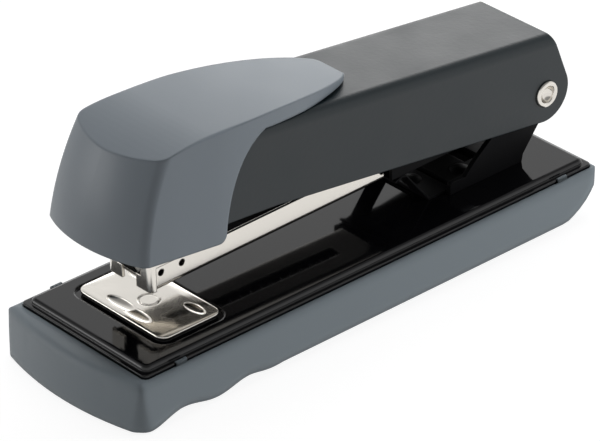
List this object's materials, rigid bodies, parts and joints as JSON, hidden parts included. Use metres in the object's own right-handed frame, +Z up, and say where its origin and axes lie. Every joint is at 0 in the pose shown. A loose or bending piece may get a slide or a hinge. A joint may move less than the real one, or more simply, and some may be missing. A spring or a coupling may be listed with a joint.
{
  "type": "stapler",
  "caption": "Half-strip desktop stapler with a black steel base and arm, grey moulded shoe and nose cap, and a nickel magazine and turnable anvil",
  "frame": {"origin": "the middle of the footprint, on the desk", "axes": "+X from the nose to the hinge, +Z up, +Y to the far side with the nose on the left"},
  "size_m": [0.1463, 0.047, 0.0598],
  "materials": {
    "grey_plastic": "satin",
    "gloss_black": "gloss",
    "satin_black": "satin",
    "black_steel": "satin",
    "black_plastic": "matte",
    "pad_rubber": "matte",
    "nickel": "polished",
    "zinc_steel": "satin",
    "blade_steel": "satin",
    "spring_steel": "satin"
  },
  "bodies": {
    "base": {"base_cover": "grey_plastic", "base_plate": "gloss_black", "front_pad": "pad_rubber", "rear_pad": "pad_rubber", "hinge_bracket": "black_steel", "bracket_rivets": "zinc_steel", "hinge_pin": "nickel", "pin_washers": "zinc_steel", "lift_spring": "spring_steel", "lift_spring_rivet": "zinc_steel", "anvil_spring": "spring_steel"},
    "magazine": {"magazine_channel": "nickel", "nose_plate": "nickel", "staple_rail": "black_steel", "rail_rivets": "zinc_steel", "pusher_rod": "zinc_steel", "rod_clip": "spring_steel", "pusher_spring": "spring_steel"},
    "pusher": {"pusher": "black_steel"},
    "handle": {"handle_arm": "satin_black", "head_cap": "grey_plastic", "driver_blade": "blade_steel", "driver_holder": "black_plastic", "holder_rivets": "satin_black", "handle_spring": "spring_steel", "handle_spring_rivet": "satin_black"},
    "anvil_lifter": {"anvil_washer": "zinc_steel"},
    "anvil": {"anvil_plate": "nickel", "anvil_stem": "nickel"}
  },
  "joints": [
    {"name": "magazine_swing", "type": "hinge", "parent": "base", "child": "magazine", "pos_m": [0.06405, 0, 0.0309], "axis": [0, 1, 0], "range_deg": [-2.5, 100], "stiffness_Nm_per_rad": 0.5, "springref_deg": 8.59, "deforming": ["lift_spring"]},
    {"name": "handle_swing", "type": "hinge", "parent": "magazine", "child": "handle", "pos_m": [0.06405, 0, 0.0309], "axis": [0, 1, 0], "range_deg": [-3.4, 75], "stiffness_Nm_per_rad": 0.5, "springref_deg": 6.02, "deforming": ["handle_spring"]},
    {"name": "pusher_slide", "type": "slide", "parent": "magazine", "child": "pusher", "axis": [0.9998, 0, 0.0216], "range_m": [0, 0.05], "stiffness_N_per_m": 60, "springref_m": -0.02, "deforming": ["pusher_spring"]},
    {"name": "anvil_lift", "type": "slide", "parent": "base", "child": "anvil_lifter", "axis": [0, 0, 1], "range_m": [0, 0.0012], "stiffness_N_per_m": 400, "springref_m": -0.002, "deforming": ["anvil_spring"]},
    {"name": "anvil_turn", "type": "hinge", "parent": "anvil_lifter", "child": "anvil", "pos_m": [-0.04725, 0, 0.014], "axis": [0, 0, 1], "range_deg": [0, 180]}
  ]
}
